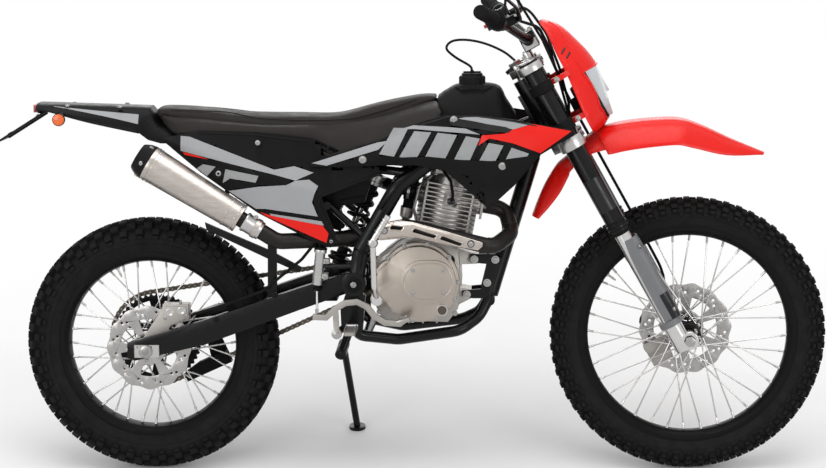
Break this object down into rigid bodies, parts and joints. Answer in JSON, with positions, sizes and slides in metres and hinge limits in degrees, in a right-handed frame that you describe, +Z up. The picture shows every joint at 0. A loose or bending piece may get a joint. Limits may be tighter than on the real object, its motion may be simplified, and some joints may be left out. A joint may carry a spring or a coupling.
{
  "type": "dirt bike",
  "caption": "Off-road motorcycle with knobbly tyres, inverted fork, finned air-cooled engine, flat seat and high fenders, leaning on its side stand.",
  "frame": {"origin": "on the ground under the middle of the parked bike's bounding box", "axes": "+X forward, +Y to the rider's left, +Z up"},
  "size_m": [2.0969, 0.8123, 1.2796],
  "materials": {
    "frame_paint": "satin black",
    "cast_silver": "cast, bead blasted",
    "cast_cover": "painted warm silver",
    "black_rubber": "matt",
    "dark_pipe": "dark, heat tinted",
    "bare_metal": "brushed",
    "black_plastic": "matt black",
    "body_plastic": "black with grey and red stripes",
    "seat_cover": "fine grained black cover",
    "red_lens": "clear red",
    "spring_paint": "black",
    "steel": "plain",
    "grey_plastic": "grey and black",
    "red_plastic": "bright red",
    "lamp_glass": "clear",
    "tyre": "matt",
    "rim": "black, machined edge",
    "hub": "black",
    "disc_steel": "brushed",
    "sprocket_black": "black"
  },
  "bodies": {
    "chassis": {"frame": "frame_paint", "engine_case": "cast_silver", "engine_cylinder": "cast_silver", "engine_covers": "cast_cover", "carburettor": "black_rubber", "air_box": "black_plastic", "header_pipe": "dark_pipe", "heat_shield": "bare_metal", "muffler": "bare_metal", "muffler_cap": "black_plastic", "fuel_tank": "black_plastic", "fuel_cap": "black_plastic", "shrouds": "body_plastic", "side_panels": "body_plastic", "seat": "seat_cover", "rear_fender": "body_plastic", "plate_bracket": "black_plastic", "tail_lamps": "red_lens", "shock": "spring_paint", "swingarm": "frame_paint", "chain": "steel", "chain_guide": "black_plastic", "rear_caliper": "cast_silver", "rear_axle": "steel", "footpegs": "frame_paint", "foot_levers": "cast_silver", "kick_lever": "steel", "rear_master": "cast_silver"},
    "steering": {"triple_clamps": "bare_metal", "fork_tubes": "frame_paint", "fork_sliders": "steel", "fork_guards": "grey_plastic", "front_axle": "steel", "handlebar": "frame_paint", "grips": "black_rubber", "bar_controls": "black_plastic", "headlight_mask": "red_plastic", "headlamp": "lamp_glass", "front_fender": "red_plastic", "front_caliper": "cast_silver", "brake_hose": "black_rubber"},
    "front_wheel": {"front_tyre": "tyre", "front_rim": "rim", "front_spokes": "steel", "front_hub": "hub", "front_disc": "disc_steel"},
    "rear_wheel": {"rear_tyre": "tyre", "rear_rim": "rim", "rear_spokes": "steel", "rear_hub": "hub", "rear_disc": "disc_steel", "rear_sprocket": "sprocket_black"},
    "side_stand": {"side_stand": "frame_paint"}
  },
  "joints": [
    {"name": "steering_turn", "type": "hinge", "parent": "chassis", "child": "steering", "pos_m": [0.32459, -0.0448, 0.91355], "axis": [-0.4787, 0.1525, 0.8646], "range_deg": [-42, 42]},
    {"name": "front_wheel_spin", "type": "hinge", "parent": "steering", "child": "front_wheel", "pos_m": [0.69841, -0.145, 0.34532], "axis": [0, 0.9848, -0.1736], "continuous": true},
    {"name": "rear_wheel_spin", "type": "hinge", "parent": "chassis", "child": "rear_wheel", "pos_m": [-0.67141, -0.14899, 0.32267], "axis": [0, 0.9848, -0.1736], "continuous": true},
    {"name": "side_stand_fold", "type": "hinge", "parent": "chassis", "child": "side_stand", "pos_m": [-0.19141, -0.0231, 0.26493], "axis": [0.1153, 0.9589, 0.2594], "range_deg": [0, 98]}
  ]
}
